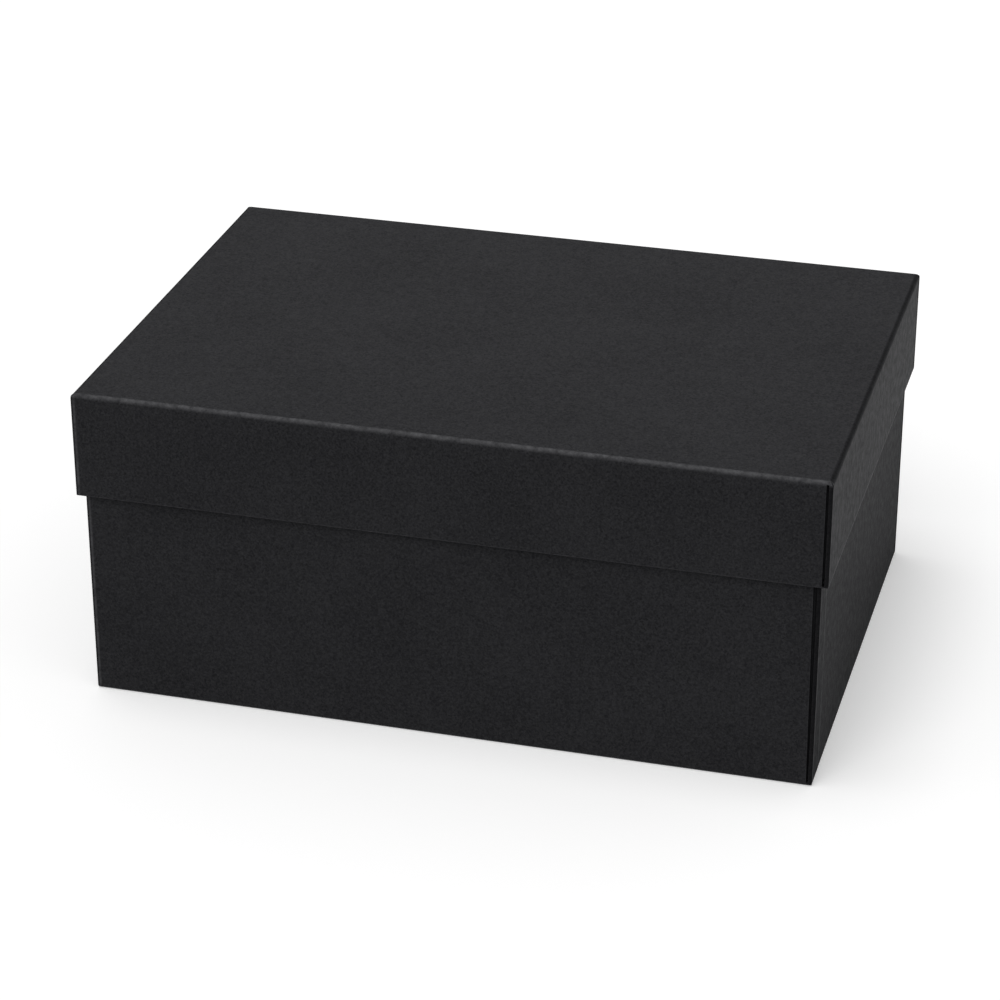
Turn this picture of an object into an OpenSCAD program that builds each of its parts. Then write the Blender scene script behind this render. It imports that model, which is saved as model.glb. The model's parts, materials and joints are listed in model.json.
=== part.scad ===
// Two-piece gift box: a deep base tray and a shallow lid that telescopes over it.
// Each tray is a flat panel board and four wall boards, laid on one cross-shaped
// sheet of wrapping paper, folded up, lined with a second sheet and held square
// by a card gusset in each corner.
//
// X runs along the long side, Y from front to back, Z up. The origin is the
// centre of the underside.

/* [Base tray] */
// Outside length of the base tray, along X
base_w = 294; // [200:1:400]
// Outside depth of the base tray, along Y
base_d = 204; // [140:1:300]
// Outside height of the base tray
base_h = 130; // [80:1:220]
// Bend radius of the wrap along the foot of the base walls
base_fold_r = 1.2; // [0.8:0.1:2.5]
// Gap in the base's corner seams at the foot of the walls
base_seam_foot = 0.6; // [0.2:0.1:3]
// Gap in the base's corner seams at the rim
base_seam_rim = 1.6; // [0.2:0.1:3]

/* [Lid tray] */
// Height of the lid, from its top face to its rim
skirt_h = 44; // [35:1:75]
// Bend radius of the wrap along the top edges of the lid
lid_fold_r = 2; // [0.8:0.1:3]
// Gap in the lid's corner seams at the top
lid_seam_top = 0.8; // [0.2:0.1:3]
// Gap in the lid's corner seams at the rim
lid_seam_rim = 0.8; // [0.2:0.1:3]

/* [Both trays] */
// Distance from a fold to where the corner seams begin
seam_start = 0.4; // [0.2:0.1:2]
// Height of the web of folded paper that closes a corner seam at the rim
rim_web = 0.8; // [0.4:0.1:2]

/* [Fit of the lid] */
// Play at each end between the base wall and the lid's gussets
end_play = 0.8; // [0.3:0.05:2.5]
// Play at the front and back between the base wall and the lid's gussets
side_play = 0.35; // [0.3:0.05:2.5]
// Gap between the rim of the base and the lining of the lid that rests on it
rest_gap = 0.3; // [0.1:0.1:1]

/* [Board and paper] */
// Thickness of the greyboard
board_t = 1.2; // [0.8:0.1:2.5]
// Thickness of the wrapping paper
wrap_t = 0.2; // [0.1:0.05:0.3]
// Thickness of the lining paper
lining_t = 0.15; // [0.1:0.05:0.3]
// Thickness of the glue film between two layers
glue_t = 0.03; // [0.02:0.01:0.08]
// Space left for the fold between a panel board and the wall boards
hinge_gap = 0.3; // [0.1:0.1:1]

/* [Turn-ins and lining] */
// How far the wrap is turned in over the rim
rim_turn_in = 15; // [8:1:20]
// How far the wrap is turned in round the ends of the walls
end_turn_in = 12; // [6:1:20]
// Distance from the rim to the edge of the lining
lining_drop = 4; // [2:0.5:6]
// Gap at each end of the lining's front and back flaps
lining_seam = 0.5; // [0.2:0.1:2]

/* [Corner gussets] */
// Length of each leg of a gusset
gusset_leg = 25; // [18:1:40]
// Thickness of the gusset card
gusset_t = 0.3; // [0.2:0.05:0.6]
// Distance from the rim to the edge of a gusset
gusset_drop = 2; // [1:0.5:10]
// Distance from the lined panel to the foot of a gusset
gusset_lift = 1; // [0.5:0.5:3]
// Width of the adhesive tape under a gusset's front or back leg
tape_w = 15; // [8:1:16]
// Thickness of the adhesive tape
tape_t = 0.1; // [0.05:0.05:0.2]
// Distance from the tape to the edges of the gusset
tape_margin = 2; // [1:0.5:4]

/* [Hidden] */
$fn = 48;
eps = 0.01;

// a panel: wrap and glued board, and the same with the lining
panel_t = wrap_t + glue_t + board_t + glue_t;
lined_panel_t = panel_t + lining_t;
// a wall: the same with the turned-in wrap, and then with the lining
wall_t = panel_t + wrap_t;
lining_at = wall_t + glue_t;
lined_wall_t = lining_at + lining_t;
// how far a board stands in from the outside of its wrap
board_in = wrap_t + glue_t;

// the lid goes over the base with its own walls, gussets and play outside it
lid_w = base_w + 2 * (lined_wall_t + glue_t + gusset_t + end_play);
lid_d = base_d + 2 * (lined_wall_t + tape_t + gusset_t + side_play);
closed_h = base_h + rest_gap + lined_panel_t;

// a tray is [width, depth, height, fold radius, seam at the panel, seam at the rim]
BASE = [base_w, base_d, base_h, base_fold_r, base_seam_foot, base_seam_rim];
LID = [lid_w, lid_d, skirt_h, lid_fold_r, lid_seam_top, lid_seam_rim];
function width(tray) = tray[0];
function depth(tray) = tray[1];
function height(tray) = tray[2];
function fold_r(tray) = tray[3];
function panel_seam(tray) = tray[4];
function rim_seam(tray) = tray[5];

// the walls, in quarter turns from the front
SIDES = ["front", "right", "back", "left"];
function quarter_turns(side) = search([side], SIDES)[0];
function is_end(side) = side == "left" || side == "right";

BOARD = "#8a8680";
WRAP = "#2c2c2e";
LINING = "#262628";
CARD = "#303032";
TAPE = "#1c1c1e";

// ---- A tray, with its panel at z = 0 and its rim up ----

// Distance from the middle of the tray to the outer face of a wall
function wall_out(tray, side) = (is_end(side) ? width(tray) : depth(tray)) / 2;

// Half the outside length of a side of the tray
function half_side(tray, side) = (is_end(side) ? depth(tray) : width(tray)) / 2;

// Where a wrapped wall ends, from its middle. The walls follow one another
// round the tray: each starts at the outside of one corner and stops short of
// the next wall by a seam's gap.
function wall_end(tray, side, seam) = half_side(tray, side) - wall_t - seam;

// Extrudes a wall's outline from one depth to another, measured inwards from
// its outer face. In the outline, X runs along the wall and Y goes up.
module in_wall(tray, side, from, to)
    rotate([0, 0, 90 * quarter_turns(side)])
        translate([0, to - wall_out(tray, side), 0])
            rotate([90, 0, 0])
                linear_extrude(to - from) children();

// Outline of a wall from the fold to the rim, drawn in by some amount at both
// ends and at the rim, and reaching down to the height low
module wall_outline(tray, side, at_ends, at_rim, low) {
    start = at_ends - half_side(tray, side);
    foot = wall_end(tray, side, panel_seam(tray)) - at_ends;
    rim = wall_end(tray, side, rim_seam(tray)) - at_ends;
    top = height(tray) - at_rim;
    polygon([[start, low], [foot, low], [rim, top], [start, top]]);
}

// Section across a tray's panel, with a fold of radius r at each side, of
// width w and height h
module fold_section(w, r, h)
    intersection() {
        union() {
            for (s = [-1, 1])
                translate([s * (w / 2 - r), r])
                    circle(r);
            translate([r - w / 2, 0])
                square([w - 2 * r, h]);
            translate([-w / 2, r])
                square([w, h - r]);
        }
        translate([-w / 2, 0])
            square([w, h]);
    }

// The panel side of a tray, of height h, as a full block
module folded_block(w, d, r, h)
    intersection() {
        translate([0, d / 2, 0])
            rotate([90, 0, 0])
                linear_extrude(d) fold_section(w, r, h);
        rotate([0, 0, 90])
            translate([0, w / 2, 0])
                rotate([90, 0, 0])
                    linear_extrude(w) fold_section(d, r, h);
    }

// Paper under the panel, round the folds and up to where the seams begin
module wrap_on_panel(tray) {
    w = width(tray);
    d = depth(tray);
    r = fold_r(tray);
    h = r + seam_start;
    difference() {
        folded_block(w, d, r, h);
        translate([0, 0, wrap_t])
            folded_block(w - 2 * wrap_t, d - 2 * wrap_t, r - wrap_t, h);
    }
}

// Paper on one wall: its outer face, over the rim, round both ends, and the
// strips turned in on the inner face
module wrap_on_wall(tray, side) {
    r = fold_r(tray);
    difference() {
        in_wall(tray, side, 0, wall_t)
            wall_outline(tray, side, 0, 0, r);
        in_wall(tray, side, wrap_t, panel_t)
            wall_outline(tray, side, wrap_t, wrap_t, r - eps);
        in_wall(tray, side, panel_t - eps, wall_t + eps)
            wall_outline(tray, side, end_turn_in, rim_turn_in, r - eps);
    }
}

// Folded paper across the corner seams at the rim. It runs into the paper on
// the walls at both sides by half its thickness.
module rim_webs(tray) {
    lap = wrap_t / 2;
    for (side = SIDES) {
        from = wall_end(tray, side, rim_seam(tray)) - lap;
        to = wall_end(tray, side, 0) + lap;
        in_wall(tray, side, 0, wall_t)
            translate([from, height(tray) - rim_web])
                square([to - from, rim_web]);
    }
}

module wrap(tray)
    color(WRAP) {
        wrap_on_panel(tray);
        for (side = SIDES)
            wrap_on_wall(tray, side);
        rim_webs(tray);
    }

// Panel board, clear of the folds and of the wall boards
module panel_board(tray) {
    inset = max(fold_r(tray), panel_t + hinge_gap);
    w = width(tray) - 2 * inset;
    d = depth(tray) - 2 * inset;
    color(BOARD)
        translate([-w / 2, -d / 2, board_in])
            cube([w, d, board_t]);
}

module wall_board(tray, side)
    color(BOARD)
        in_wall(tray, side, board_in, board_in + board_t)
            wall_outline(tray, side, board_in, board_in, fold_r(tray));

// Lining sheet: a panel and four flaps. The front and back flaps stop short of
// the end flaps, because the corners of the sheet are cut out.
module lining(tray)
    color(LINING) {
        w = width(tray) - 2 * lining_at;
        d = depth(tray) - 2 * lining_at;
        translate([-w / 2, -d / 2, panel_t])
            cube([w, d, lining_t]);
        for (side = SIDES) {
            half = is_end(side) ? d / 2 : w / 2 - lining_t - lining_seam;
            rise = height(tray) - lining_drop - panel_t;
            in_wall(tray, side, lining_at, lined_wall_t)
                translate([-half, panel_t])
                    square([2 * half, rise]);
        }
    }

// ---- Corner gussets, at x side sx and y side sy ----

function gusset_foot() = lined_panel_t + gusset_lift;
function gusset_rise(tray) = height(tray) - gusset_drop - gusset_foot();

// The tape keeps its margin from the edge of the gusset or of the lining under
// it, whichever is farther from the rim
function tape_rise(tray) =
    height(tray) - max(gusset_drop, lining_drop) - gusset_foot() - 2 * tape_margin;

// Puts children at a corner of the lined tray, with X and Y pointing into it
module at_corner(tray, sx, sy)
    translate([
        sx * (width(tray) / 2 - lined_wall_t),
        sy * (depth(tray) / 2 - lined_wall_t),
        gusset_foot()
    ])
        mirror([sx > 0 ? 1 : 0, 0, 0])
            mirror([0, sy > 0 ? 1 : 0, 0])
                children();

// Card folded into an L: one leg glued to the end wall, the other on tape
module gusset(tray, sx, sy)
    color(CARD)
        at_corner(tray, sx, sy)
            linear_extrude(gusset_rise(tray)) {
                translate([glue_t, tape_t])
                    square([gusset_t, gusset_leg]);
                translate([glue_t, tape_t])
                    square([gusset_leg, gusset_t]);
            }

// Double-sided tape between each gusset and the front or back wall
module tape_strips(tray)
    color(TAPE)
        for (sx = [-1, 1], sy = [-1, 1])
            at_corner(tray, sx, sy)
                translate([gusset_leg - tape_margin - tape_w, 0, tape_margin])
                    cube([tape_w, tape_t, tape_rise(tray)]);

// ---- Sub-parts ----

// Turns a tray over and sets it on the rim of the base
module as_lid()
    translate([0, 0, closed_h])
        mirror([0, 0, 1])
            children();

module base_bottom_board() panel_board(BASE);
module base_front_board() wall_board(BASE, "front");
module base_back_board() wall_board(BASE, "back");
module base_left_board() wall_board(BASE, "left");
module base_right_board() wall_board(BASE, "right");
module base_wrap() wrap(BASE);
module base_lining() lining(BASE);
module base_gusset_front_left() gusset(BASE, -1, -1);
module base_gusset_front_right() gusset(BASE, 1, -1);
module base_gusset_back_left() gusset(BASE, -1, 1);
module base_gusset_back_right() gusset(BASE, 1, 1);
module base_tape_strips() tape_strips(BASE);

module lid_top_board() as_lid() panel_board(LID);
module lid_front_board() as_lid() wall_board(LID, "front");
module lid_back_board() as_lid() wall_board(LID, "back");
module lid_left_board() as_lid() wall_board(LID, "left");
module lid_right_board() as_lid() wall_board(LID, "right");
module lid_wrap() as_lid() wrap(LID);
module lid_lining() as_lid() lining(LID);
module lid_gusset_front_left() as_lid() gusset(LID, -1, -1);
module lid_gusset_front_right() as_lid() gusset(LID, 1, -1);
module lid_gusset_back_left() as_lid() gusset(LID, -1, 1);
module lid_gusset_back_right() as_lid() gusset(LID, 1, 1);
module lid_tape_strips() as_lid() tape_strips(LID);

base_bottom_board();
base_front_board();
base_back_board();
base_left_board();
base_right_board();
base_wrap();
base_lining();
base_gusset_front_left();
base_gusset_front_right();
base_gusset_back_left();
base_gusset_back_right();
base_tape_strips();
lid_top_board();
lid_front_board();
lid_back_board();
lid_left_board();
lid_right_board();
lid_wrap();
lid_lining();
lid_gusset_front_left();
lid_gusset_front_right();
lid_gusset_back_left();
lid_gusset_back_right();
lid_tape_strips();
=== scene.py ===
# %% [markdown]
# # A black two-piece gift box
#
# A deep base tray and a shallow lid, each made up from five greyboards on one
# cross-shaped sheet of black wrapping paper. The paper is turned round every free
# edge, the walls are folded up, and a card gusset inside each corner holds two walls
# square. So the corners show an open seam, and that seam is what makes this box look
# like itself.
#
# The boards and tapes come ready made with the frame, because a flat board needs
# nothing but its finish. The paper and card pieces are modelled here, because paper
# bends round an edge where a solid model has a sharp corner.

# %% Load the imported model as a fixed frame
import bpy
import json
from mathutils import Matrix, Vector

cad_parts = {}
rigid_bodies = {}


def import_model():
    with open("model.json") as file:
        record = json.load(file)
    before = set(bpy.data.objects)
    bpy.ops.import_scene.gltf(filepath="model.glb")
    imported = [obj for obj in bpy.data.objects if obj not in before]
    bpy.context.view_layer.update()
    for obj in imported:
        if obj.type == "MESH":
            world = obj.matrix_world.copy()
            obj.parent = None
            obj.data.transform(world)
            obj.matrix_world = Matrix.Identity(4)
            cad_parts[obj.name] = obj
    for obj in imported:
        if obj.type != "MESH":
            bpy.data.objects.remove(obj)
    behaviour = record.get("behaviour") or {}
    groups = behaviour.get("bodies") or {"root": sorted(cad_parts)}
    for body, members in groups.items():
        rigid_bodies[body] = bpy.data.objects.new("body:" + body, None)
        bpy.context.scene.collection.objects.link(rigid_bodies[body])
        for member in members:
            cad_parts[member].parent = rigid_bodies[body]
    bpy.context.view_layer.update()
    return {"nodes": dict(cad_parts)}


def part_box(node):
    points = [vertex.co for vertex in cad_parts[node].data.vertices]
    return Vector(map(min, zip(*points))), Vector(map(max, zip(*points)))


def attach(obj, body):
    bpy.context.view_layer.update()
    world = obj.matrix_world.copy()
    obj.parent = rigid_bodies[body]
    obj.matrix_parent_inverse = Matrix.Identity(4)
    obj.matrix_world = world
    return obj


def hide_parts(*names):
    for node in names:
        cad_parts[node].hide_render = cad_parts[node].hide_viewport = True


for leftover in list(bpy.data.objects):
    bpy.data.objects.remove(leftover)
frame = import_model()

# %% [markdown]
# Blender works in metres and paper is measured in tenths of a millimetre, so every
# size below is written in millimetres and multiplied by MM.

# %% Imports and units
import json
import math
from collections import namedtuple

import bmesh
from mathutils import Matrix, Vector

MM = 0.001
SAME_PLACE = 0.002 * MM

print("pieces in the frame:", len(frame["nodes"]))

# %% [markdown]
# ## The camera
#
# The camera looks down on the front of the box, from a little to its right. A long
# lens keeps the perspective calm. It is placed by an aim point, two angles and a
# distance, which say more to a reader than a position and a rotation would.

# %% Place the camera
AIM = Vector((-3.86, -5.45, 57.47)) * MM
AZIMUTH = math.radians(15.26)
ELEVATION = math.radians(26.43)
DISTANCE = 1343.4 * MM
LENS = 116.72

away = Vector((
    math.sin(AZIMUTH) * math.cos(ELEVATION),
    -math.cos(AZIMUTH) * math.cos(ELEVATION),
    math.sin(ELEVATION),
))
camera = bpy.data.objects.new("camera", bpy.data.cameras.new("camera"))
bpy.context.scene.collection.objects.link(camera)
camera.location = AIM + away * DISTANCE
camera.rotation_euler = (-away).to_track_quat("-Z", "Y").to_euler()
camera.data.lens = LENS
camera.data.clip_start = 0.05
camera.data.clip_end = 50
bpy.context.scene.camera = camera
bpy.context.scene.view_settings.view_transform = "Standard"
print("camera at, mm:", [round(v / MM) for v in camera.location])

# %% [markdown]
# ## Colours and nodes
#
# Colours are written as sRGB hex values, the way a paint chart gives them. Blender's
# sockets want linear light, so one function turns them.
#
# A material is a tree of nodes. One small function adds a node, sets it up and links
# it, so that each material below reads as a list of what it is made of.

# %% Helpers for colours and nodes
def linear(hex_colour):
    """Turns an sRGB hex colour into linear RGBA."""
    parts = [int(hex_colour[i:i + 2], 16) / 255 for i in (1, 3, 5)]
    return [v / 12.92 if v <= 0.04045 else ((v + 0.055) / 1.055) ** 2.4 for v in parts] + [1]


def add_node(tree, kind, inputs=None, **settings):
    """Adds a node. An input is a value or the output of another node."""
    node = tree.nodes.new(kind)
    for name, value in settings.items():
        setattr(node, name, value)
    for name, value in (inputs or {}).items():
        if isinstance(value, bpy.types.NodeSocket):
            tree.links.new(value, node.inputs[name])
        else:
            node.inputs[name].default_value = value
    return node


def new_material(name):
    """Makes an empty material and returns it with its tree."""
    material = bpy.data.materials.new(name)
    material.use_nodes = True
    material.node_tree.nodes.clear()
    return material, material.node_tree


# %% [markdown]
# ## The studio
#
# The box stands on a pale table in a white room. Both are shown white to the camera and
# in reflections without putting more light on the box, which would wash out its black: a
# Light Path node tells those rays from the ones that light things.

# %% Helper for what is shown but gives no light
def is_looked_at(tree):
    """1 for a ray from the camera, a mirror or a glass, and 0 for one that gathers light."""
    ray = add_node(tree, "ShaderNodeLightPath")
    bounced = add_node(tree, "ShaderNodeMath", {
        0: ray.outputs["Is Glossy Ray"], 1: ray.outputs["Is Transmission Ray"]},
        operation="MAXIMUM")
    shown = add_node(tree, "ShaderNodeMath", {
        0: ray.outputs["Is Camera Ray"], 1: bounced.outputs[0]}, operation="MAXIMUM")
    return shown.outputs[0]


# %% [markdown]
# Over half of the light comes evenly from all round, which the world gives. A soft lamp
# almost overhead, a little to the left, makes the short soft shadow on the right. A wider
# one, a little stronger, stands in front of the box and well above it. It lights the
# front walls from above, and so draws the shadow under the lid's rim. Both are sun lamps
# with a wide disc, which is what a large softbox looks like from the box: its width in
# degrees is what makes a shadow soft.
#
# World and lamps together light a white card that lies on the table to just under white,
# so each colour shows about as it is written.

# %% Light the studio
ROOM_LIGHT = 0.5

world = bpy.data.worlds.new("white_room")
bpy.context.scene.world = world
world.use_nodes = True
room = world.node_tree
room.nodes.clear()
level = add_node(room, "ShaderNodeMix", {0: is_looked_at(room), 2: ROOM_LIGHT, 3: 1.0})
walls = add_node(room, "ShaderNodeBackground", {
    "Color": linear("#ffffff"), "Strength": level.outputs[0]})
add_node(room, "ShaderNodeOutputWorld", {"Surface": walls.outputs[0]})


def add_softbox(name, strength, width, comes_from):
    """A far lamp whose disc is width degrees across."""
    lamp = bpy.data.objects.new(name, bpy.data.lights.new(name, "SUN"))
    bpy.context.scene.collection.objects.link(lamp)
    lamp.data.energy = strength
    lamp.data.angle = math.radians(width)
    lamp.rotation_euler = Vector(comes_from).to_track_quat("Z", "Y").to_euler()
    print(name, "gives", round(strength / math.pi, 2), "of white, against the room's", ROOM_LIGHT)


add_softbox("overhead_softbox", strength=0.65, width=26, comes_from=(-0.15, -0.04, 1))
add_softbox("front_softbox", strength=0.785, width=40, comes_from=(-0.1, -0.85, 1))

# %% [markdown]
# The table is a flat square, large enough to fill the picture. It throws back only a
# little over half of the light, or it would fill in the shadow under the rim. To the
# camera and in reflections it is nearly white instead, with a faint glow that lifts it
# to full white. The glow lights nothing, and the shadow of the box stays on the table.

# %% Lay the table
TABLE_SIZE = 12
TABLE_WHITE = "#f6f6f6"
TABLE_THROWS = "#c6c6c6"
TABLE_LIFT = 0.25

table_top, tree = new_material("white_table")
lift = add_node(tree, "ShaderNodeMath", {0: is_looked_at(tree), 1: TABLE_LIFT},
                operation="MULTIPLY")
glow = add_node(tree, "ShaderNodeEmission", {"Strength": lift.outputs[0]})
shade = add_node(tree, "ShaderNodeMix", {
    0: is_looked_at(tree), 6: linear(TABLE_THROWS), 7: linear(TABLE_WHITE)}, data_type="RGBA")
matt = add_node(tree, "ShaderNodeBsdfDiffuse", {"Color": shade.outputs[2]})
both = add_node(tree, "ShaderNodeAddShader", {0: matt.outputs[0], 1: glow.outputs[0]})
add_node(tree, "ShaderNodeOutputMaterial", {"Surface": both.outputs[0]})

shape = bmesh.new()
bmesh.ops.create_grid(shape, x_segments=1, y_segments=1, size=TABLE_SIZE / 2)
mesh = bpy.data.meshes.new("table")
shape.to_mesh(mesh)
shape.free()
mesh.materials.append(table_top)
table = bpy.data.objects.new("table", mesh)
bpy.context.scene.collection.objects.link(table)
print("table of", TABLE_SIZE, "m, with its top at the foot of the box")

# %% [markdown]
# ## Black wrapping paper
#
# The box is covered in black-dyed, uncoated wrapping paper of about 160 g/m2. Its
# fibres lie loosely, so it has no gloss of its own: it is a very dark matt grey with
# a fine mottle about a millimetre across and softer clouds from the way that the pulp
# settled. Seen along the surface it turns paler, as all matt paper does.
#
# Folds, rims and edges are painted lighter as a highlight, where the lamps would glint on them,
# and the highlight is broken into crumples a few millimetres across. The seams, the outer corners,
# the end folds and the low part of the base's end walls are painted darker as shade, and there the
# paper's nap is rougher. The meshes carry that as a number at each point: 1 is the brightest
# painted highlight, 0 is the flat of a wall and -1 is the deepest painted shade.

# %% Paper of the wraps
PAPER_DARK = "#212123"
PAPER_LIGHT = "#353537"
# A paler grey, painted on folds, rims and edges as a highlight.
PAPER_PAINTED_HIGHLIGHT = "#5a5a5c"
# A near black, painted into seams, corners, end folds and low end walls as shade.
PAPER_PAINTED_SHADE = "#0b0b0c"
# The number on a mesh that stands for the deepest painted shade.
FULL_PAINTED_SHADE = -1
MOTTLE = 0.9 * MM
CLOUD = 45 * MM
CLOUD_DRIFT = (0.9, 0.1, 0.4)
FIBRE = 0.45 * MM
FIBRE_HEIGHT = 0.03 * MM
NAP = 3.5 * MM
CRUMPLE = 4 * MM
CLOUD_SHARE = 0.14
TONE_RANGE = (0.34, 0.66)
CRACK_RANGE = (0.3, 0.66)
NAP_RANGE = (0.35, 0.65)
PAPER_ROUGHNESS = (0.44, 0.56)
NAP_RAISED = 0.3
PAPER_SHINE = 0.0125
FIBRE_IOR = 1.5


def black_wrapping_paper():
    """Dyed uncoated paper, matt, with a fine mottle, painted highlights on folds and edges, and
    painted shade in seams and corners.
    """
    material, tree = new_material("black_wrapping_paper")
    place = add_node(tree, "ShaderNodeTexCoord").outputs["Object"]
    mottle = add_node(tree, "ShaderNodeTexNoise", {
        "Vector": place, "Scale": 1 / MOTTLE, "Detail": 2, "Roughness": 0.6, "Distortion": 0.8})
    drifted = add_node(tree, "ShaderNodeVectorMath", {0: place, 1: CLOUD_DRIFT})
    cloud = add_node(tree, "ShaderNodeTexNoise", {
        "Vector": drifted.outputs[0], "Scale": 1 / CLOUD, "Detail": 2, "Roughness": 0.5})
    tone = add_node(tree, "ShaderNodeMix", {
        0: CLOUD_SHARE, 2: mottle.outputs["Fac"], 3: cloud.outputs["Fac"]})
    spread = add_node(tree, "ShaderNodeMapRange", {
        "Value": tone.outputs[0], "From Min": TONE_RANGE[0], "From Max": TONE_RANGE[1]})
    dye = add_node(tree, "ShaderNodeMix", {
        0: spread.outputs[0], 6: linear(PAPER_DARK), 7: linear(PAPER_LIGHT)}, data_type="RGBA")
    # A number on the mesh paints a highlight above 0 and shade below 0. Where it paints shade, the
    # nap is also rougher.
    wear = add_node(tree, "ShaderNodeAttribute", attribute_name="wear")
    painted_shade_share = add_node(tree, "ShaderNodeMath", {0: wear.outputs["Fac"], 1: FULL_PAINTED_SHADE},
                         operation="MULTIPLY", use_clamp=True)
    depth = add_node(tree, "ShaderNodeMix", {
        0: painted_shade_share.outputs[0], 6: dye.outputs[2], 7: linear(PAPER_PAINTED_SHADE)}, data_type="RGBA")
    cracks = add_node(tree, "ShaderNodeTexNoise", {
        "Vector": place, "Scale": 1 / CRUMPLE, "Detail": 5, "Roughness": 0.8})
    crack_pattern = add_node(tree, "ShaderNodeMapRange", {
        "Value": cracks.outputs["Fac"], "From Min": CRACK_RANGE[0], "From Max": CRACK_RANGE[1]})
    highlight_share = add_node(tree, "ShaderNodeMath", {
        0: wear.outputs["Fac"], 1: crack_pattern.outputs[0]}, operation="MULTIPLY", use_clamp=True)
    colour = add_node(tree, "ShaderNodeMix", {
        0: highlight_share.outputs[0], 6: depth.outputs[2], 7: linear(PAPER_PAINTED_HIGHLIGHT)}, data_type="RGBA")
    fibres = add_node(tree, "ShaderNodeTexNoise", {
        "Vector": place, "Scale": 1 / FIBRE, "Detail": 3, "Roughness": 0.6, "Distortion": 0.5})
    relief = add_node(tree, "ShaderNodeBump", {
        "Height": fibres.outputs["Fac"], "Strength": 1.0, "Distance": FIBRE_HEIGHT})
    nap = add_node(tree, "ShaderNodeTexNoise", {
        "Vector": place, "Scale": 1 / NAP, "Detail": 2, "Roughness": 0.6})
    felt = add_node(tree, "ShaderNodeMapRange", {
        "Value": nap.outputs["Fac"], "From Min": NAP_RANGE[0], "From Max": NAP_RANGE[1],
        "To Min": PAPER_ROUGHNESS[0], "To Max": PAPER_ROUGHNESS[1]})
    raised = add_node(tree, "ShaderNodeMath", {
        0: painted_shade_share.outputs[0], 1: NAP_RAISED, 2: felt.outputs[0]}, operation="MULTIPLY_ADD")
    paper = add_node(tree, "ShaderNodeBsdfPrincipled", {
        "Base Color": colour.outputs[2], "Roughness": raised.outputs[0], "IOR": FIBRE_IOR,
        "Specular IOR Level": PAPER_SHINE, "Normal": relief.outputs[0]})
    add_node(tree, "ShaderNodeOutputMaterial", {"Surface": paper.outputs[0]})
    return material


wrapping_paper = black_wrapping_paper()
print("made", wrapping_paper.name)

# %% [markdown]
# ## The other finishes
#
# The lining is a thinner black paper, smoother than the wrap. The gussets are black
# card, calendered, so a little shinier and with its fibres lying one way. The boards
# are greyboard, pressed from waste paper: brownish grey with dark and pale flecks.
# The tape is a black double-sided tissue tape. The boards and tapes are closed in,
# and are finished because the box can be taken apart.

# %% Lining paper, card, greyboard and tape
MOTTLE_RANGE = (0.3, 0.7)
MOTTLE_RELIEF = 0.5


def mottled(name, dark, light, grain, stretch, roughness, specular):
    """A plain matt material with a mottle between two tones, which may be stretched."""
    material, tree = new_material(name)
    place = add_node(tree, "ShaderNodeTexCoord").outputs["Object"]
    drawn = add_node(tree, "ShaderNodeMapping", {"Vector": place, "Scale": stretch})
    mottle = add_node(tree, "ShaderNodeTexNoise", {
        "Vector": drawn.outputs[0], "Scale": 1 / grain, "Detail": 4, "Roughness": 0.6})
    spread = add_node(tree, "ShaderNodeMapRange", {
        "Value": mottle.outputs["Fac"], "From Min": MOTTLE_RANGE[0], "From Max": MOTTLE_RANGE[1]})
    colour = add_node(tree, "ShaderNodeMix", {
        0: spread.outputs[0], 6: linear(dark), 7: linear(light)}, data_type="RGBA")
    relief = add_node(tree, "ShaderNodeBump", {
        "Height": mottle.outputs["Fac"], "Strength": MOTTLE_RELIEF, "Distance": FIBRE_HEIGHT})
    surface = add_node(tree, "ShaderNodeBsdfPrincipled", {
        "Base Color": colour.outputs[2], "Roughness": roughness, "IOR": FIBRE_IOR,
        "Specular IOR Level": specular, "Normal": relief.outputs[0]})
    add_node(tree, "ShaderNodeOutputMaterial", {"Surface": surface.outputs[0]})
    return material


lining_paper = mottled("black_lining_paper", "#262628", "#303032", 0.9 * MM, (1, 1, 1), 0.5, 0.03)
gusset_card = mottled("black_gusset_card", "#202022", "#29292b", 0.7 * MM, (1, 1, 0.3), 0.4, 0.03)
greyboard = mottled("recycled_greyboard", "#6f6b64", "#a09b92", 0.8 * MM, (1, 1, 1), 0.8, 0.3)
tissue_tape = mottled("black_tissue_tape", "#141415", "#1c1c1d", 1.5 * MM, (1, 1, 0.2), 0.4, 0.5)
print("made", [m.name for m in (lining_paper, gusset_card, greyboard, tissue_tape)])

# %% [markdown]
# ## The two trays
#
# Both trays are the same thing in two sizes: a panel with four walls. The lid is one
# turned over. So each is described once by a few measures, standing on its panel with
# its rim up, and the same functions build both. Widths, depths, heights and layers
# are read from the frame. Only the bends and seams, which no box can show, are given
# here in millimetres.

# %% Measure the trays
Tray = namedtuple(
    "Tray", "name width depth height wall fold seam_from panel_seam rim_seam panel_z up")


def measure_tray(name, fold, seam_from, panel_seam, rim_seam, up):
    """Reads a tray's outside size and the thickness of its walls from the frame."""
    low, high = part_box(name + "_wrap")
    board_low, board_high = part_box(name + "_front_board")
    skin = board_low.y - low.y
    wall = skin + (board_high.y - board_low.y) + skin
    width, depth, height = high - low
    return Tray(name, width, depth, height, wall, fold * MM, seam_from * MM,
                panel_seam * MM, rim_seam * MM, low.z if up > 0 else high.z, up)


BASE = measure_tray("base", fold=1.2, seam_from=1.6, panel_seam=0.6, rim_seam=1.6, up=1)
LID = measure_tray("lid", fold=2.0, seam_from=1.0, panel_seam=0.8, rim_seam=0.8, up=-1)

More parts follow.
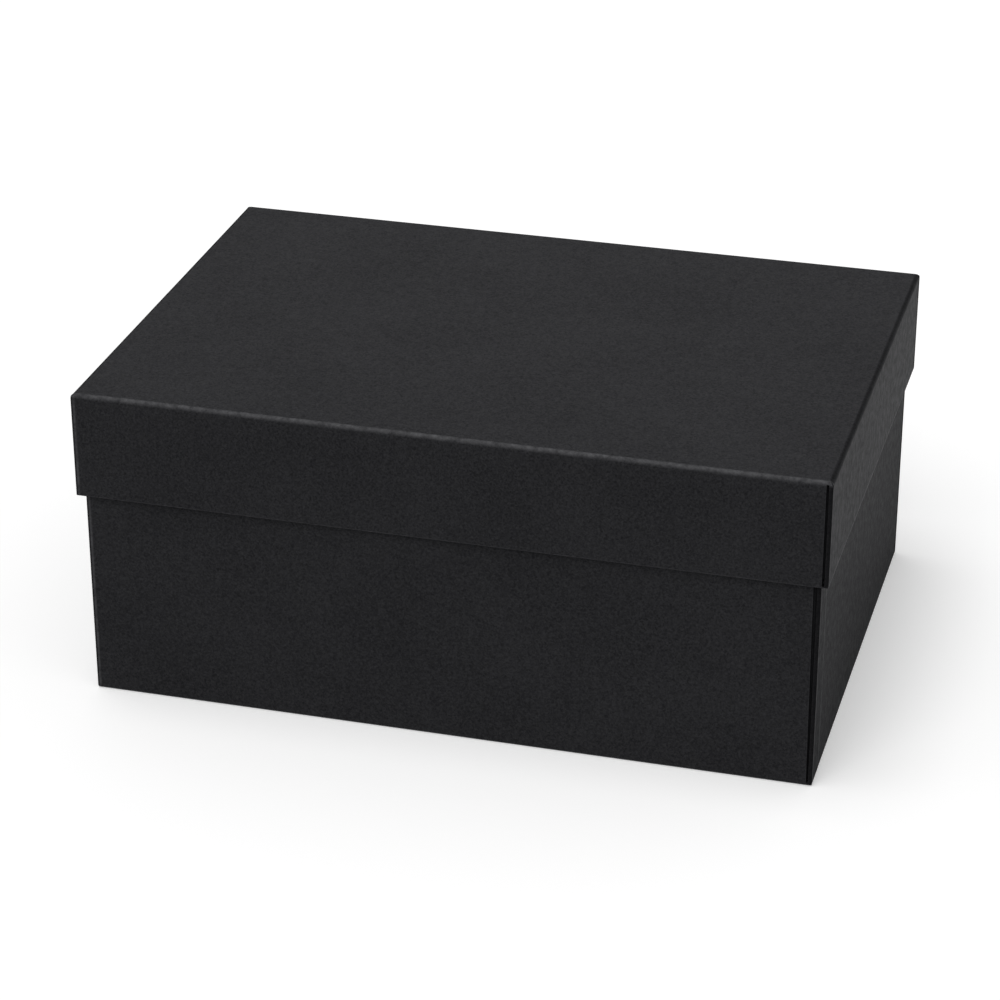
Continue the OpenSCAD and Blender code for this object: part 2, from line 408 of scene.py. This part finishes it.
# %% [markdown]
# ## A wrap, ring by ring
#
# A wrap is one sheet of paper, so it is built as one surface. Think of a tray as a
# stack of rings. The first lies in the panel, where the fold starts. The next ones
# climb round the fold, go up the outside of the walls, over the rim, and down the
# inside. Joining each ring to the next gives the sheet.
#
# The walls follow one another round the tray. Each starts at the outside of a corner
# and stops short of the next wall, where the paper turns in round its end and leaves
# an open seam. A quarter of a turn brings one corner to the next, so a ring is worked
# out corner by corner: from the middle of the wall that ends there to the middle of
# the wall that starts there. In between, it dips into a groove as deep as the wall.

# %% Places along a wall
ARRIS = 0.4 * MM
CORNER = 0.3 * MM
BESIDE_CORNER = 1.15 * MM
ARC_STEPS = 4
SPACING = 7 * MM
END_TURN_IN = 12 * MM
NEAR_AN_END = [v * MM for v in (0, 0.4, 0.9, 1.8, 3.5, 7, 10.6, 11.4, 12, 17)]


def fractions(steps):
    """Fractions from 0 to 1 in equal steps."""
    return [k / steps for k in range(steps + 1)]


def quarter_turn(steps):
    """Angles from 0 to a quarter of a turn in equal steps."""
    return [math.pi / 2 * f for f in fractions(steps)]


QUARTER_TURN = quarter_turn(ARC_STEPS)


def side_halves(tray, turns):
    """Half the length of the wall that ends at a corner, and of the one that starts."""
    halves = (tray.width / 2, tray.depth / 2)
    return halves if turns % 2 == 0 else halves[::-1]


def places(tray, half, end):
    """Places from a wall's middle to its end: evenly spaced, and then closer together."""
    reach = half - tray.wall - tray.rim_seam - ARRIS
    even = reach - NEAR_AN_END[-1]
    along = [even * f for f in fractions(round(even / SPACING))]
    along += [reach - near for near in NEAR_AN_END[-2::-1]]
    return [place * end / reach for place in along]


for tray in (BASE, LID):
    print(tray.name, "has", len(places(tray, tray.width / 2, 1)), "places on half its front")

# %% [markdown]
# A ring says how high it is and how far it is drawn in from the outside of the tray.
# It also says how much its corners are rounded and how far its seams are open, from 0 to 1. The
# rest is finish and painted light: the painted highlight and painted shade on the long walls and
# the end walls, how much of the step at a lap shows, and how far the paper puckers at the corners.
#
# The lap is where the paper that is folded in behind the start of an end wall stops.
# The wall is thinner from there on, by a twentieth of a millimetre.

# %% A quarter of a ring
Ring = namedtuple("Ring", "z inset corner gap inside long_wear end_wear lap pucker",
                  defaults=(0, False, 0, 0, 0, 0))
Spot = namedtuple("Spot", "x y wear")
# A painted highlight on a wall's rounded end, which turns to painted shade down in the seam.
END_HIGHLIGHT = 0.35
LAP_END = 13.8 * MM
LAP_STEP = 0.05 * MM
LAP_RIDGE = 0.6 * MM
# A painted highlight along the lap's ridge, so that its step shows as a light line.
LAP_HIGHLIGHT = 0.6
# Painted shade on the rounded outer corner, and a painted highlight on the edge of the next wall
# beside it.
CORNER_SHADE = -0.7
BESIDE_HIGHLIGHT = 0.9
# Painted shade on the seam's far lip and on the strip beside the corner.
SEAM_LIP_SHADE = -0.5
STRIP_SHADE = -0.6


def seam_width(tray, z):
    """Width of a corner seam, which changes evenly from the fold to the rim."""
    share = (z - tray.fold) / (tray.height - tray.fold)
    return tray.panel_seam + min(max(share, 0), 1) * (tray.rim_seam - tray.panel_seam)


def groove_spots(middle, half, arris, deep):
    """Spots round a wall's end into the groove, and out of it along the next wall, with a painted
    highlight on the end and painted shade in the groove and on its far lip.
    """
    left, right = middle - half, middle + half
    into = [Spot(left - arris * (1 - math.sin(a)), arris * (1 - math.cos(a)),
                 END_HIGHLIGHT - (1 + END_HIGHLIGHT) * (a / QUARTER_TURN[-1]) ** 2)
            for a in QUARTER_TURN[1:]]
    into += [Spot(left - arris * (1 - math.cos(a)), deep - arris * (1 - math.sin(a)), FULL_PAINTED_SHADE)
             for a in QUARTER_TURN]
    out_of = [Spot(right, deep, FULL_PAINTED_SHADE)]
    out_of += [Spot(right + arris * (1 - math.cos(a)), arris * (1 - math.sin(a)), SEAM_LIP_SHADE)
               for a in QUARTER_TURN]
    return into, out_of


def ending_spots(tray, ring, half):
    """Spots from a wall's middle over its open seam to the outside of the corner.

    X runs along the wall, and Y goes in from its outer face. The second result is the
    number of the spot just before the seam."""
    middle = half - tray.wall - seam_width(tray, ring.z) / 2
    open_half = seam_width(tray, ring.z) / 2 * ring.gap
    arris = ARRIS * ring.gap
    spots = [Spot(x, 0, 0) for x in places(tray, half, middle - open_half - arris)]
    into, out_of = groove_spots(middle, open_half, arris, tray.wall * ring.gap)
    if ring.inside:
        into = [spots[-1]._replace(wear=FULL_PAINTED_SHADE)] * len(into)
        out_of = [Spot(middle + open_half, 0, FULL_PAINTED_SHADE)] * len(out_of)
    before_seam = len(spots) + len(into) - 1
    out_of = [s._replace(y=s.y - ring.pucker / 2) for s in out_of]
    # The strip beside the corner is painted darker as shade.
    strip = Spot(half - BESIDE_CORNER, -ring.pucker, STRIP_SHADE)
    return spots + into + out_of + [strip], before_seam


def starting_spots(tray, ring, half):
    """Spots from the corner to a wall's middle, facing those of the wall opposite."""
    fold_end = half - tray.wall - tray.panel_seam / 2
    # The edge beside the corner gets a painted highlight.
    spots = [Spot(half - BESIDE_CORNER, 0, 0 if ring.inside else BESIDE_HIGHLIGHT)]
    for x in places(tray, half, fold_end)[::-1]:
        past_lap = half - x > LAP_END
        on_lap = not past_lap and half - x > LAP_END - LAP_RIDGE
        lap_highlight = LAP_HIGHLIGHT if on_lap and ring.lap == 1 else 0
        spots.append(Spot(x, LAP_STEP * ring.lap * past_lap, lap_highlight))
    return spots


def stronger_mark(wear, other):
    """Puts two amounts of painted light together. Any painted highlight hides painted shade."""
    return max(wear, other) if max(wear, other) > 0 else min(wear, other)


def quarter_ring(tray, ring, turns):
    """A quarter of a ring as if its first wall faced the front, and its seam's number."""
    half, next_half = side_halves(tray, turns)
    painted_lights = ring.long_wear, ring.end_wear
    wear, next_painted_light = painted_lights if turns % 2 == 0 else painted_lights[::-1]
    across = half - ring.inset - ring.corner
    down = next_half - ring.inset - ring.corner
    front = next_half - ring.inset
    side = half - ring.inset
    spots, before_seam = ending_spots(tray, ring, half)
    quarter = [Spot(min(s.x, across), s.y - front, stronger_mark(s.wear, wear)) for s in spots]
    # The rounded outer corner is painted darker as shade.
    corner_shade = 0 if ring.inside else CORNER_SHADE
    for a, share in zip(QUARTER_TURN, fractions(ARC_STEPS)):
        quarter.append(Spot(across + ring.corner * math.sin(a) + ring.pucker * share / 2,
                            -down - ring.corner * math.cos(a) - ring.pucker * (1 - share),
                            stronger_mark(corner_shade, wear + (next_painted_light - wear) * share)))
    has_lap = turns % 2 == 0
    for s in starting_spots(tray, ring, next_half):
        marked = s.wear if has_lap or s.x > next_half - tray.wall else 0
        quarter.append(Spot(side - s.y * has_lap, -min(s.x, down), stronger_mark(marked, next_painted_light)))
    return quarter, before_seam


def whole_ring(tray, ring):
    """A ring as a list of (place, wear), and the numbers of the spots before its seams."""
    placed, seams = [], []
    for turns in range(4):
        quarter, before_seam = quarter_ring(tray, ring, turns)
        seams.append(len(placed) + before_seam)
        for x, y, wear in quarter[:-1]:
            for _ in range(turns):
                x, y = -y, x
            placed.append(((x, y, ring.z), wear))
    return placed, seams


placed, seams = whole_ring(LID, Ring(LID.height / 2, 0, CORNER, 1))
print("a ring has", len(placed), "spots, with a seam after each of", seams)

# %% [markdown]
# The rings themselves. A bend is a quarter of a circle, and both the folds and the
# rim use one. Where a fold meets a corner, the ring's own corner is rounded more than
# the edge of the wall, because paper can't make a sharp point there. Next to the panel
# it is pinched in a little, and next to the walls it puckers out.
#
# The seams' two ends are round. The lid's seams open while the paper is still bending,
# and the base's open just above the bend. At the rim a web of paper joins the walls,
# and on the inside it is 3 mm deep, so no light comes through there. At the lid's panel
# a pinhole is left over the gusset's edge, and shows light when the lid is lifted.

# %% The rings of a wrap
FOLD_STEPS = 12
SOFT_CORNER = 0.12
PUCKER = 0.12
RIM_WEB = 0.6 * MM
INNER_WEB = 3 * MM
SEAM_ROUND = 0.5 * MM
RIM_TURN_IN = 15 * MM
# A painted highlight along the rim: faint on the long walls, strong on the end walls, where it
# reaches this far from the rim.
RIM_HIGHLIGHT_REACH = 0.7 * MM
LONG_RIM_HIGHLIGHT = 0.35
END_RIM_HIGHLIGHT = 1.6
# Painted shade along the end folds, which turn away from the overhead lamp.
END_FOLD_SHADE = -0.6
# Painted shade on the base's end walls, deepest at the foot, where the floor beside them is in
# shadow.
LOW_ENDS_SHADE = -0.42
# Scales the painted highlight on the long folds to 1 at its peak.
HIGHLIGHT_PEAK = 27 / 4


def seam_open(tray, z):
    """How far a seam is open at some height, from 0 to 1."""
    from_end = min(z - tray.seam_from, tray.height - RIM_WEB - z) / SEAM_ROUND
    return math.sqrt(1 - (1 - min(max(from_end, 0), 1)) ** 2)


def wall_heights(tray):
    """Heights of the rings on a wall, closer together at the round ends of the seam."""
    foot = tray.seam_from
    top = tray.height - RIM_WEB
    turn_in = tray.height - RIM_TURN_IN
    heights = [foot + SEAM_ROUND * (1 - math.cos(a)) for a in QUARTER_TURN]
    heights = [z for z in heights if z > tray.fold + SAME_PLACE]
    inner_web = tray.height - INNER_WEB
    for low, high in ((max(foot + SEAM_ROUND, tray.fold), turn_in), (turn_in, inner_web),
                      (inner_web, top - SEAM_ROUND)):
        steps = fractions(max(2, round((high - low) / SPACING)))
        heights += [low + (high - low) * f for f in steps[1:]]
    return heights + [top - SEAM_ROUND * (1 - math.sin(a)) for a in QUARTER_TURN[1:]]


def fold_rings(tray):
    """Rings round the fold. The long folds get a painted highlight that peaks a third of the way
    round, where the overhead lamp would glint, and the end folds get painted shade of the same
    shape. The peak factor brings that bulge to 1 there."""
    rings = []
    for f in fractions(FOLD_STEPS):
        a = math.pi / 2 * f
        z = tray.fold * (1 - math.cos(a))
        inset = tray.fold * (1 - math.sin(a))
        corner = CORNER * math.sin(a) + SOFT_CORNER * tray.fold * math.sin(2 * a)
        bulge = HIGHLIGHT_PEAK * f * (1 - f) ** 2
        pucker = min(-PUCKER * tray.fold * math.sin(4 * a), inset)
        rings.append(Ring(z, inset, corner, seam_open(tray, z), False,
                          bulge, END_FOLD_SHADE * bulge, f, pucker))
    return rings


def rim_rings(tray):
    """Rings over the rim, from the outer face of the walls to the inner one."""
    rings = []
    for a in QUARTER_TURN:
        inset = ARRIS * (1 - math.cos(a))
        rings.append(Ring(tray.height - ARRIS + ARRIS * math.sin(a), inset,
                          max(CORNER - inset, 0), 0, False, LONG_RIM_HIGHLIGHT, END_RIM_HIGHLIGHT, math.cos(a)))
    for a in QUARTER_TURN:
        inset = tray.wall - ARRIS * (1 - math.sin(a))
        rings.append(Ring(tray.height - ARRIS + ARRIS * math.cos(a), inset,
                          0, 0, False, LONG_RIM_HIGHLIGHT, LONG_RIM_HIGHLIGHT))
    return rings


def wrap_rings(tray):
    """All the rings of a wrap, from its panel to the end of the turned-in paper."""
    rings = fold_rings(tray)
    for z in wall_heights(tray):
        # End walls: a painted highlight just under the rim, and on the base, painted shade that
        # deepens towards the foot.
        near_rim = 1 - (tray.height - ARRIS - z) / RIM_HIGHLIGHT_REACH
        low_down = min(1 - z / tray.height, 1) if tray.up > 0 else 0
        end_wear = END_RIM_HIGHLIGHT * near_rim if near_rim > 0 else LOW_ENDS_SHADE * low_down
        rings.append(Ring(z, 0, CORNER, seam_open(tray, z), False, 0, end_wear, 1))
    rings += rim_rings(tray)
    for z in reversed(wall_heights(tray)):
        if z > tray.seam_from + SEAM_ROUND - SAME_PLACE:
            rings.append(Ring(z, tray.wall, 0, seam_open(tray, z), True))
    return rings


for tray in (BASE, LID):
    print(tray.name, "wrap has", len(wrap_rings(tray)), "rings")

# %% [markdown]
# ## From rings to a sheet
#
# The rings are joined with four-sided faces, and the panel is filled in with a grid that meets the
# first ring. The sheet then gets its thickness from the Solidify modifier, inwards, because the
# outside is where the frame says it is. The modifier's result becomes the mesh, so the mesh holds
# the whole paper and not a recipe for it.

# %% Helpers for sheets
SHARP = math.radians(50)


def add_grid(shape, painted_light_layer, rows, closed, wanted=None):
    """Joins rows of (place, wear) with faces, except where wanted says no."""
    made = []
    for row in rows:
        made.append([shape.verts.new(place) for place, wear in row])
        for vert, (place, wear) in zip(made[-1], row):
            vert[painted_light_layer] = wear
    for j in range(len(rows) - 1):
        count = len(rows[j]) if closed else len(rows[j]) - 1
        for k in range(count):
            after = (k + 1) % len(rows[j])
            if wanted is None or wanted(j, k):
                shape.faces.new((made[j][k], made[j][after], made[j + 1][after], made[j + 1][k]))


def stand(shape, tray):
    """Moves a sheet from its tray's own heights to those in the box."""
    for vert in shape.verts:
        vert.co.z = tray.panel_z + tray.up * vert.co.z
    if tray.up < 0:
        bmesh.ops.reverse_faces(shape, faces=shape.faces)


def sheet_object(name, shape, thickness, material):
    """Welds a sheet's grids and gives it thickness, behind the face that shows."""
    bmesh.ops.remove_doubles(shape, verts=shape.verts, dist=SAME_PLACE)
    loose = [v for v in shape.verts if not v.link_faces]
    bmesh.ops.delete(shape, geom=loose, context="VERTS")
    mesh = bpy.data.meshes.new(name)
    shape.to_mesh(mesh)
    shape.free()
    made = bpy.data.objects.new(name, mesh)
    bpy.context.scene.collection.objects.link(made)
    solid = made.modifiers.new("paper", "SOLIDIFY")
    solid.thickness = thickness
    solid.offset = -1
    return settle(made, material)


def settle(made, material):
    """Turns an object's modifiers into its mesh, and smooths all but its sharp edges."""
    graph = bpy.context.evaluated_depsgraph_get()
    finished = bpy.data.meshes.new_from_object(made.evaluated_get(graph))
    made.modifiers.clear()
    made.data = finished
    finished.name = made.name
    finished.shade_smooth()
    finished.set_sharp_from_angle(angle=SHARP)
    even = made.modifiers.new("flat_faces_stay_flat", "WEIGHTED_NORMAL")
    even.keep_sharp = True
    finished.materials.clear()
    finished.materials.append(material)
    return made


# %% [markdown]
# Faces are left out where the real sheet is cut: in the open seams, and inside the walls,
# where the turned-in paper ends and the board would show if the lining didn't cover it.
# To leave a face out is simpler than to cut a hole afterwards.

# %% Build a wrap
WRAP_PAPER = 0.2 * MM


def is_turned_in(tray, x, y, z):
    """Whether paper turned in round a wall's end covers a place on the walls' inside."""
    for turns in range(4):
        half, next_half = side_halves(tray, turns)
        if abs(y + next_half - tray.wall) < SAME_PLACE:
            end = half - tray.wall - seam_width(tray, z)
            return x < END_TURN_IN - half or x > end - END_TURN_IN
        x, y = y, -x
    return False


def is_paper(tray, below, above, at_seam, x, y, z):
    """Whether the sheet has paper between two rings, at a place between them."""
    if at_seam and above.inside:
        return min(below.z, above.z) > tray.height - INNER_WEB - SAME_PLACE
    if at_seam:
        return below.gap + above.gap < 2
    in_rim_strip = max(below.z, above.z) > tray.height - RIM_TURN_IN + SAME_PLACE
    return not below.inside or in_rim_strip or is_turned_in(tray, x, y, z)


def build_wrap(tray):
    """The whole wrap of one tray."""
    rings = wrap_rings(tray)
    rows = [whole_ring(tray, ring)[0] for ring in rings]
    seams = whole_ring(tray, rings[0])[1]
    shape = bmesh.new()
    painted_light_layer = shape.verts.layers.float.new("wear")

    def wanted(j, k):
        after = rows[j][(k + 1) % len(rows[j])]
        middle = (Vector(rows[j][k][0]) + Vector(after[0])) / 2
        return is_paper(tray, rings[j], rings[j + 1], k in seams, *middle)

    add_grid(shape, painted_light_layer, rows, closed=True, wanted=wanted)
    panel = panel_rows(rows[0])
    add_grid(shape, painted_light_layer, panel, closed=False)
    stand(shape, tray)
    return sheet_object(tray.name + "_wrap_paper", shape, WRAP_PAPER, wrapping_paper)


def panel_rows(ring):
    """A grid that fills the first ring, with its rows along X and facing down."""
    xs = sorted({round(x / SAME_PLACE) * SAME_PLACE for (x, y, z), wear in ring})
    ys = sorted({round(y / SAME_PLACE) * SAME_PLACE for (x, y, z), wear in ring}, reverse=True)
    return [[((x, y, 0), 0) for x in xs] for y in ys]


for tray in (BASE, LID):
    wrap = build_wrap(tray)
    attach(wrap, tray.name)
    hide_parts(tray.name + "_wrap")
    print(wrap.name, "has", len(wrap.data.polygons), "faces")

# %% [markdown]
# ## Linings
#
# Each tray is lined with a second cross of paper: a panel with four flaps that fold
# up over the turned-in edges of the wrap and stop 4 mm below the rim. It is thinner
# than the wrap and has no turn-ins, so it is a flat grid with a small bend at the foot
# of each flap. Its flaps' free corners are cut round, as a knife-cut blank has them.

# %% Build the linings
LINING_PAPER = 0.15 * MM
LINING_BEND = 0.8 * MM
BEND_STEPS = 5
FLAP_CORNER = 3 * MM


def lining_rows(half, out, panel_z, top):
    """Rows of one flap, from the panel's edge round the bend and up the wall.

    The flap is worked out facing the front, at the distance out from the middle."""
    bend = LINING_BEND
    profile = []
    for a in quarter_turn(BEND_STEPS):
        profile.append((out - bend + bend * math.sin(a), panel_z + bend * (1 - math.cos(a)), half))
    rise = top - panel_z - bend - FLAP_CORNER
    for f in fractions(max(2, round(rise / SPACING)))[1:]:
        profile.append((out, panel_z + bend + rise * f, half))
    for a in QUARTER_TURN[1:]:
        profile.append((out, top - FLAP_CORNER * (1 - math.sin(a)),
                        half - FLAP_CORNER * (1 - math.cos(a))))
    steps = round(2 * half / SPACING)
    return [[((width * (2 * f - 1), -distance, z), 0) for f in fractions(steps)]
            for distance, z, width in profile]


def build_lining(tray):
    """The lining of one tray, with its visible face where the frame has it."""
    low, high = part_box(tray.name + "_lining")
    size = high - low
    foot = abs((low.z if tray.up > 0 else high.z) - tray.panel_z) + LINING_PAPER
    top = foot - LINING_PAPER + size.z
    half_x = size.x / 2 - LINING_PAPER
    half_y = size.y / 2 - LINING_PAPER
    shape = bmesh.new()
    painted_light_layer = shape.verts.layers.float.new("wear")
    flat_x, flat_y = half_x - LINING_BEND, half_y - LINING_BEND
    for turns in range(4):
        half, out = (flat_x, half_y) if turns % 2 == 0 else (flat_y, half_x)
        turned = Matrix.Rotation(math.pi / 2 * turns, 3, "Z")
        rows = [[(turned @ Vector(place), wear) for place, wear in row]
                for row in lining_rows(half, out, foot, top)]
        add_grid(shape, painted_light_layer, rows, closed=False)
    across = fractions(round(2 * flat_x / SPACING))
    along = fractions(round(2 * flat_y / SPACING))
    panel = [[((flat_x * (2 * f - 1), flat_y * (1 - 2 * g), foot), 0) for f in across]
             for g in along]
    add_grid(shape, painted_light_layer, panel, closed=False)
    bmesh.ops.reverse_faces(shape, faces=shape.faces)
    stand(shape, tray)
    return sheet_object(tray.name + "_lining_paper", shape, LINING_PAPER, lining_paper)


for tray in (BASE, LID):
    lining = build_lining(tray)
    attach(lining, tray.name)
    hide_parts(tray.name + "_lining")
    print(lining.name, "has", len(lining.data.polygons), "faces")

# %% [markdown]
# ## Corner gussets
#
# A gusset is a strip of card creased into an L, with one leg glued to each wall. It
# is what keeps two separate walls square to each other. It starts a little below the
# rim, and from outside it is the black at the bottom of the open seam. The crease of
# a card is never sharp, and its die-cut corners are rounded.

# %% Build the gussets
GUSSET_CARD = 0.3 * MM
CREASE = 0.4 * MM
CARD_CORNER = 2 * MM
LEG_STEPS = 6
HEIGHT_STEPS = 8


def gusset_path(reach_x, reach_y):
    """The visible face in plan, from the end of one leg through the crease to the other.

    X and Y are measured into the tray from the card's outer corner."""
    face = GUSSET_CARD
    turn = face + CREASE
    legs = fractions(LEG_STEPS)
    path = [(face, reach_y + (turn - reach_y) * f) for f in legs]
    path += [(turn - CREASE * math.sin(a), turn - CREASE * math.cos(a))
             for a in [math.pi / 2 * (1 - f) for f in fractions(BEND_STEPS)][1:-1]]
    path += [(turn + (reach_x - turn) * f, face) for f in legs]
    return path


def build_gusset(node, side_x, side_y):
    """A gusset in the corner at side_x and side_y, which are -1 or 1."""
    low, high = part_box(node)
    corner = Vector((high.x if side_x > 0 else low.x, high.y if side_y > 0 else low.y))
    size = high - low
    heights = [(low.z + CARD_CORNER * (1 - math.cos(a)), CARD_CORNER * (1 - math.sin(a)))
               for a in QUARTER_TURN]
    middle = size.z - 2 * CARD_CORNER
    heights += [(low.z + CARD_CORNER + middle * f, 0) for f in fractions(HEIGHT_STEPS)[1:]]
    heights += [(high.z - CARD_CORNER * (1 - math.cos(a)), CARD_CORNER * (1 - math.sin(a)))
                for a in QUARTER_TURN[-2::-1]]
    rows = []
    for z, back in heights:
        path = gusset_path(size.x - back, size.y - back)
        rows.append([((corner.x - side_x * x, corner.y - side_y * y, z), 0) for x, y in path])
    shape = bmesh.new()
    add_grid(shape, shape.verts.layers.float.new("wear"), rows, closed=False)
    if side_x * side_y > 0:
        bmesh.ops.reverse_faces(shape, faces=shape.faces)
    return sheet_object(node + "_card", shape, GUSSET_CARD, gusset_card)


for tray in (BASE, LID):
    for side_x, across in ((-1, "left"), (1, "right")):
        for side_y, along in ((-1, "front"), (1, "back")):
            node = f"{tray.name}_gusset_{along}_{across}"
            card = build_gusset(node, side_x, side_y)
            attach(card, tray.name)
            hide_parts(node)
print("made 8 gussets")

# %% [markdown]
# ## Boards and tapes
#
# These flat pieces keep the shape that they have in the frame. Only their finish is
# set, in the material slots of the objects that came with it.

# %% Finish the boards and tapes
for name, node in frame["nodes"].items():
    finish = greyboard if name.endswith("_board") else tissue_tape
    if name.endswith(("_board", "_tape_strips")):
        for material_slot in node.material_slots:
            material_slot.material = finish
print("finished", sum(n.endswith(("_board", "_tape_strips")) for n in frame["nodes"]), "nodes")
